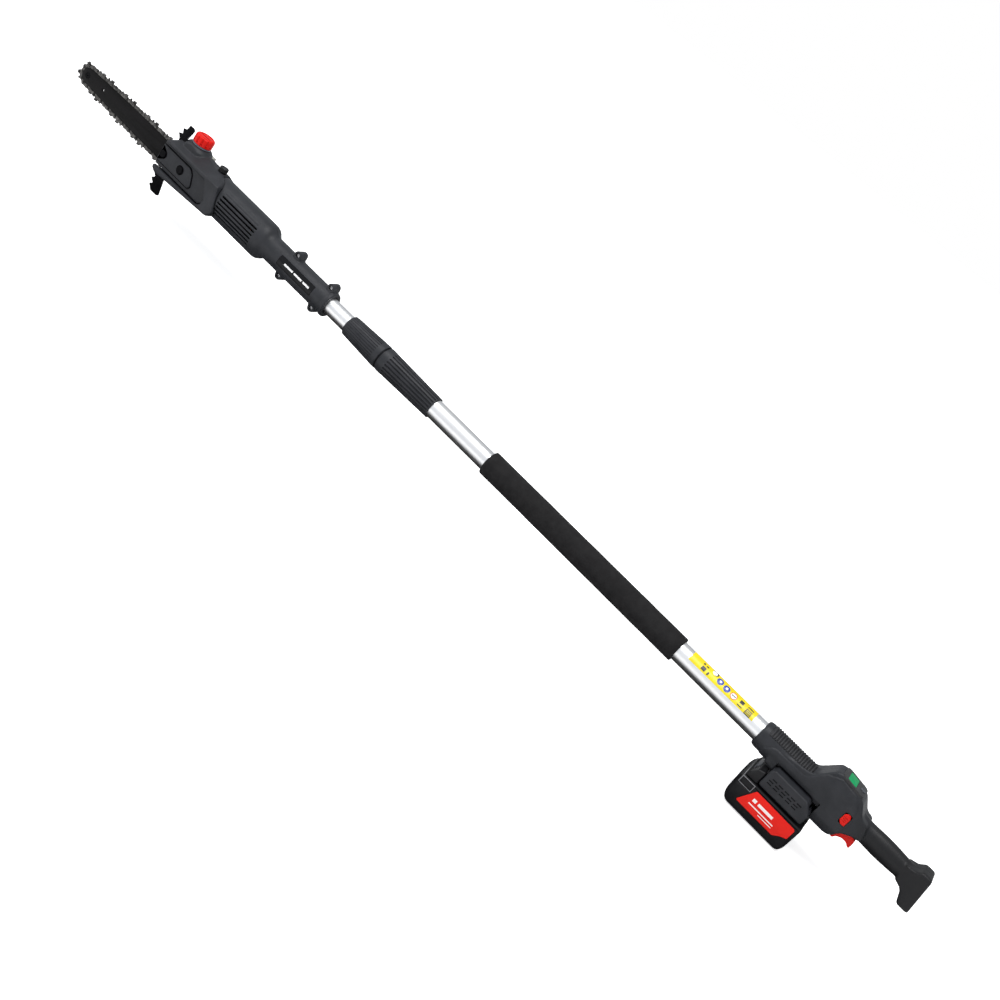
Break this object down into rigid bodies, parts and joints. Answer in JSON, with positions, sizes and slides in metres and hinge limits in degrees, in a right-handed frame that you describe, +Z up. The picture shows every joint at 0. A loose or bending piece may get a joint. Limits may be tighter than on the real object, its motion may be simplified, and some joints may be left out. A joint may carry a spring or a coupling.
{
  "type": "telescoping pole saw",
  "caption": "Cordless pole saw: a short chain bar and motor head on a telescoping metal pole with a twist lock, foam grip, rear trigger handle and slide-on battery.",
  "frame": {"origin": "on the pole's axis, at the flat rear end of the rear grip", "axes": "+X along the pole towards the saw, +Z up, away from the battery, +Y the operator's left, the side of the sprocket cover"},
  "size_m": [1.8141, 0.0767, 0.1555],
  "materials": {
    "charcoal_plastic": "fine-textured charcoal glass-filled nylon",
    "black_plastic": "satin black plastic",
    "gloss_badge": "glossy black, blank",
    "grey_plastic": "satin grey plastic",
    "red_plastic": "satin red plastic",
    "red_label": "red film, blank",
    "yellow_label": "yellow film with plain round signs",
    "green_display": "lit green window",
    "rubber": "ribbed soft rubber",
    "foam": "closed-cell foam, finely pitted",
    "lead": "black sheath",
    "aluminium": "satin anodised, drawn lengthways",
    "steel": "bright steel",
    "chain_steel": "oiled steel, chromed cutters",
    "black_steel": "blackened steel",
    "windings": "laminations and enamelled copper",
    "cells": "blue shrink film",
    "circuit_board": "green solder mask"
  },
  "bodies": {
    "handle": {"outer_tube": "aluminium", "tube_label": "yellow_label", "foam_grip": "foam", "coiled_lead": "lead", "lock_sleeve": "charcoal_plastic", "lock_collet": "grey_plastic", "handle_shell_left": "charcoal_plastic", "handle_shell_right": "charcoal_plastic", "grip_pad": "rubber", "handle_screw_1": "steel", "handle_screw_2": "steel", "display_bezel": "black_plastic", "display_lens": "green_display", "control_board": "circuit_board", "switch_module": "black_plastic", "trigger_pin": "steel", "battery_dock": "charcoal_plastic", "terminal_block": "grey_plastic"},
    "lock_nut": {"lock_nut": "charcoal_plastic"},
    "trigger": {"trigger": "red_plastic"},
    "lockoff_button": {"lockoff_button": "red_plastic"},
    "power_button": {"power_button": "grey_plastic"},
    "battery": {"battery_case_lower": "black_plastic", "battery_case_upper": "black_plastic", "battery_cells": "cells", "battery_label": "red_label"},
    "battery_latch": {"battery_latch": "grey_plastic"},
    "head": {"inner_tube": "aluminium", "motor_shell_left": "charcoal_plastic", "motor_shell_right": "charcoal_plastic", "neck_screw_1": "steel", "neck_screw_2": "steel", "neck_screw_3": "steel", "neck_screw_4": "steel", "neck_badge": "gloss_badge", "motor_can": "steel", "motor_mount": "aluminium", "guide_bar": "black_steel", "saw_chain": "chain_steel", "head_casing": "charcoal_plastic", "sprocket_cover": "charcoal_plastic", "gearbox_cover": "black_plastic", "bar_stud_rear": "steel", "bar_stud_front": "steel", "cover_nut_rear": "black_steel", "cover_nut_front": "black_steel", "spiked_bumper": "black_steel", "oil_tank": "grey_plastic", "filler_collar": "grey_plastic", "oil_pump": "grey_plastic", "shaft_bearing_far": "steel", "shaft_bearing_near": "steel"},
    "rotor": {"motor_rotor": "windings", "bevel_pinion": "steel"},
    "output": {"output_shaft": "steel", "bevel_gear": "steel", "drive_sprocket": "steel"},
    "nose_sprocket": {"nose_sprocket": "steel"},
    "oil_cap": {"oil_cap": "red_plastic"},
    "clamp_knob": {"clamp_knob": "black_plastic"}
  },
  "joints": [
    {"name": "telescope", "type": "slide", "parent": "handle", "child": "head", "axis": [1, 0, 0], "range_m": [0, 0.62]},
    {"name": "lock_nut_turn", "type": "hinge", "parent": "handle", "child": "lock_nut", "pos_m": [1.115, 0, 0], "axis": [1, 0, 0], "range_deg": [0, 90]},
    {"name": "trigger_pull", "type": "hinge", "parent": "handle", "child": "trigger", "pos_m": [0.129, 0, -0.013], "axis": [0, 1, 0], "range_deg": [0, 12], "stiffness_Nm_per_rad": 1, "springref_deg": -5.73},
    {"name": "lockoff_press", "type": "slide", "parent": "handle", "child": "lockoff_button", "axis": [0, -1, 0], "range_m": [0, 0.0035], "stiffness_N_per_m": 400, "springref_m": -0.001},
    {"name": "power_press", "type": "slide", "parent": "handle", "child": "power_button", "axis": [0.1305, 0, -0.9914], "range_m": [0, 0.001], "stiffness_N_per_m": 600, "springref_m": -0.0005},
    {"name": "battery_slide", "type": "slide", "parent": "handle", "child": "battery", "axis": [1, 0, 0], "range_m": [0, 0.11]},
    {"name": "latch_press", "type": "slide", "parent": "battery", "child": "battery_latch", "axis": [0, 0, -1], "range_m": [0, 0.003], "stiffness_N_per_m": 600, "springref_m": -0.001},
    {"name": "motor_spin", "type": "hinge", "parent": "head", "child": "rotor", "pos_m": [1.42, 0, -0.0027], "axis": [1, 0, 0], "continuous": true},
    {"name": "sprocket_spin", "type": "hinge", "parent": "head", "child": "output", "pos_m": [1.5014, 0, -0.0027], "axis": [0, 1, 0], "continuous": true},
    {"name": "nose_spin", "type": "hinge", "parent": "head", "child": "nose_sprocket", "pos_m": [1.7877, 0.0185, -0.0027], "axis": [0, 1, 0], "continuous": true},
    {"name": "oil_cap_turn", "type": "hinge", "parent": "head", "child": "oil_cap", "pos_m": [1.5465, 0, 0.05], "axis": [0, 0, 1], "range_deg": [0, 360]},
    {"name": "clamp_knob_turn", "type": "hinge", "parent": "head", "child": "clamp_knob", "pos_m": [1.488, 0, 0.038], "axis": [0, 0, 1], "range_deg": [0, 360]}
  ],
  "couplings": [
    {"joint": "sprocket_spin", "follows": "motor_spin", "ratio": -0.4375},
    {"joint": "nose_spin", "follows": "motor_spin", "ratio": -0.5438}
  ]
}
